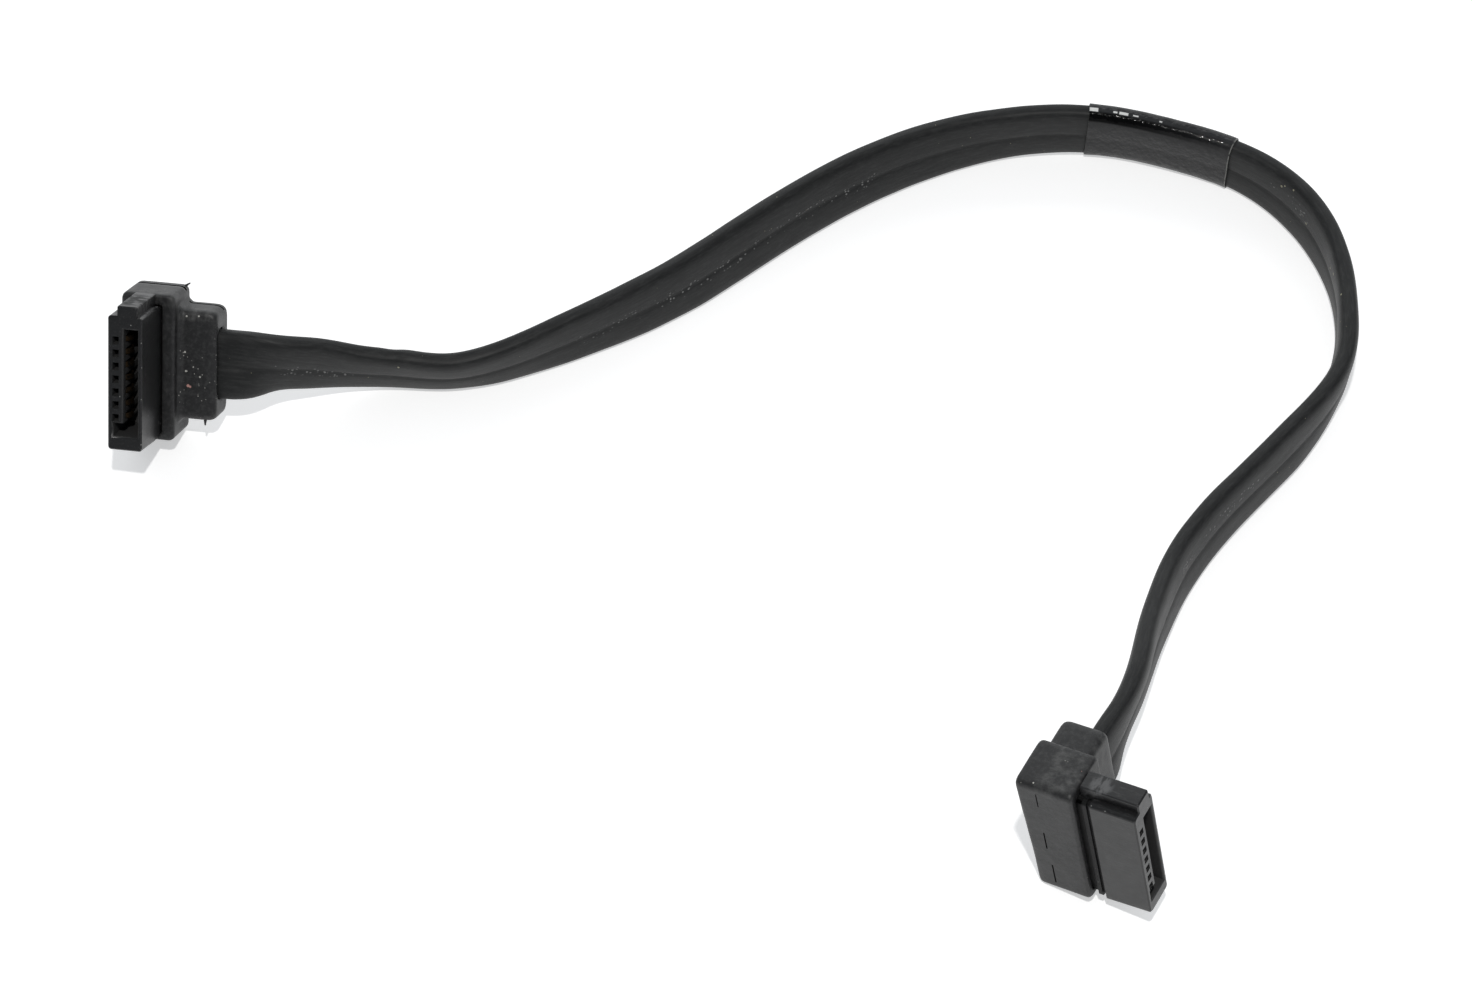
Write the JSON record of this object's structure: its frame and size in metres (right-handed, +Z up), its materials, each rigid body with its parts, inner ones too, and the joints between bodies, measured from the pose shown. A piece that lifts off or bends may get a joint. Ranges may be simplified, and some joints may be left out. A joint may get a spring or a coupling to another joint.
{
  "type": "flat data cable",
  "caption": "Short flat internal drive data cable lying in a wide arc on its edge, with a right-angle moulded connector with an L-keyed slot at each end and a clear wrap label.",
  "frame": {"origin": "on the table, under the centre of the two connectors' common box; the cable is left out of that box", "axes": "+Z up from the table, +X from the first connector (a) towards the second (b), +Y the side that the cable's arc bulges to"},
  "size_m": [0.1219, 0.0943, 0.0182],
  "materials": {
    "housing": "black moulded thermoplastic, fine satin",
    "contact": "gold-plated copper alloy strip",
    "inner_mould": "natural moulded plastic",
    "pair_foil": "foil shield",
    "overmould": "black moulded PVC, matt",
    "cable_jacket": "black flexible PVC, satin",
    "label_film": "clear glossy film over the black jacket"
  },
  "bodies": {
    "root": {"housing_a": "housing", "contact_a_1": "contact", "contact_a_2": "contact", "contact_a_3": "contact", "contact_a_4": "contact", "contact_a_5": "contact", "contact_a_6": "contact", "contact_a_7": "contact", "inner_mould_a": "inner_mould", "pair_a_1": "pair_foil", "pair_a_2": "pair_foil", "overmould_a": "overmould", "housing_b": "housing", "contact_b_1": "contact", "contact_b_2": "contact", "contact_b_3": "contact", "contact_b_4": "contact", "contact_b_5": "contact", "contact_b_6": "contact", "contact_b_7": "contact", "inner_mould_b": "inner_mould", "pair_b_1": "pair_foil", "pair_b_2": "pair_foil", "overmould_b": "overmould", "flat_cable": "cable_jacket", "label_sleeve": "label_film"}
  },
  "joints": []
}
